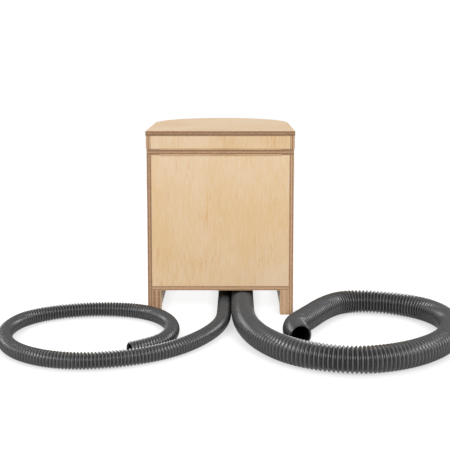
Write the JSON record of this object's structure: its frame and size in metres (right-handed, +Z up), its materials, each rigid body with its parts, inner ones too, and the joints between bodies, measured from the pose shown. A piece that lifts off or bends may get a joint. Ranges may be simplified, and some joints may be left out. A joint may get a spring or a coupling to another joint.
{
  "type": "urine-diverting toilet",
  "caption": "Compact round-fronted plywood dry toilet with hinged hood and seat deck, urine separator, solids bucket, fan-driven vent hose and ribbed drain hose laid on the floor.",
  "frame": {"origin": "middle of the cabinet and lid in plan, at floor level, hoses left out", "axes": "+Z up, -Y towards the round front, +Y towards the flat rear, +X towards the right seen from the front"},
  "size_m": [1.1393, 0.9248, 0.49],
  "materials": {
    "birch_ply": "oiled, satin",
    "old_brass": "satin, aged",
    "zinc_steel": "satin",
    "white_plastic": "gloss",
    "dark_bucket": "matte",
    "grey_pvc": "satin",
    "black_plastic": "matte",
    "hose_grey": "matte",
    "soft_rubber": "matte"
  },
  "bodies": {
    "cabinet": {"left_side_panel": "birch_ply", "right_side_panel": "birch_ply", "front_shell": "birch_ply", "rear_panel": "birch_ply", "bottom_panel": "birch_ply", "left_runner": "birch_ply", "right_runner": "birch_ply", "front_foot": "birch_ply", "splice_battens": "birch_ply", "rear_corner_battens": "birch_ply", "floor_screws": "zinc_steel", "solids_bucket": "dark_bucket", "drain_funnel": "grey_pvc", "drain_pipe": "grey_pvc", "drain_elbow": "grey_pvc", "drain_flange_screws": "zinc_steel", "drain_hose_clip": "zinc_steel", "vent_elbow": "grey_pvc", "vent_hose_clip": "zinc_steel", "fan_frame": "black_plastic", "fan_guard": "zinc_steel", "fan_screws": "zinc_steel", "power_inlet": "black_plastic", "power_inlet_nut": "black_plastic", "fan_lead": "black_plastic", "drain_hose": "hose_grey", "vent_hose": "hose_grey", "deck_hinge_lower_leaf": "old_brass", "deck_hinge_lower_screws": "old_brass", "deck_hinge_pin": "old_brass"},
    "seat_deck": {"seat_deck": "birch_ply", "seat_ring": "white_plastic", "seat_ring_screws": "zinc_steel", "urine_separator": "white_plastic", "separator_seal": "soft_rubber", "deck_hinge_upper_leaf": "old_brass", "deck_hinge_upper_screws": "old_brass", "hood_hinge_lower_leaf": "old_brass", "hood_hinge_lower_screws": "old_brass", "hood_hinge_pin": "old_brass"},
    "hood": {"lid_board": "birch_ply", "left_rim": "birch_ply", "right_rim": "birch_ply", "front_rim": "birch_ply", "rear_strip": "birch_ply", "rim_splices": "birch_ply", "hood_bumpers": "soft_rubber", "hood_hinge_upper_leaf": "old_brass", "hood_hinge_upper_screws": "old_brass"},
    "fan_rotor": {"fan_impeller": "black_plastic"}
  },
  "joints": [
    {"name": "deck_hinge", "type": "hinge", "parent": "cabinet", "child": "seat_deck", "pos_m": [0, 0.238, 0.42685], "axis": [-1, 0, 0], "range_deg": [0, 80]},
    {"name": "hood_hinge", "type": "hinge", "parent": "seat_deck", "child": "hood", "pos_m": [0, 0.238, 0.4425], "axis": [-1, 0, 0], "range_deg": [0, 95]},
    {"name": "fan_spin", "type": "hinge", "parent": "cabinet", "child": "fan_rotor", "pos_m": [-0.066, -0.115, 0.092], "axis": [0, 0, 1], "continuous": true}
  ]
}
